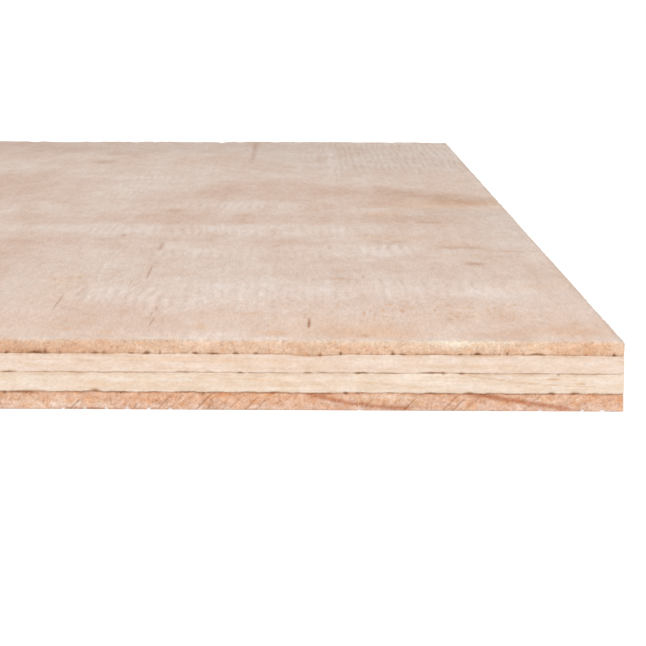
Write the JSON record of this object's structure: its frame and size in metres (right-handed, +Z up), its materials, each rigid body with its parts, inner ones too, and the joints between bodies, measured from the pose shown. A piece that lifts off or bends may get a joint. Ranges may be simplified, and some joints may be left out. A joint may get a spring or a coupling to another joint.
{
  "type": "plywood sheet",
  "caption": "Flat square plywood sheet of cross-laid wood veneers with square sawn edges, used as sheathing, flooring, shelving or panel stock.",
  "frame": {"origin": "centre of the underside, where the sheet lies on the floor", "axes": "+X along the front edge, across the grain of the face veneer; +Y along the grain of the face veneer; +Z up through the thickness, out of the face veneer"},
  "size_m": [0.61, 0.61, 0.012],
  "materials": {
    "face_veneer": "unsanded rotary-cut veneer, pale pinkish beige, matte",
    "core_veneer": "sawn veneer edge, pale cream softwood, matte",
    "back_veneer": "unsanded rotary-cut veneer, reddish tan, matte"
  },
  "bodies": {
    "root": {"face_veneer": "face_veneer", "upper_core_veneer": "core_veneer", "lower_core_veneer": "core_veneer", "back_veneer": "back_veneer"}
  },
  "joints": []
}
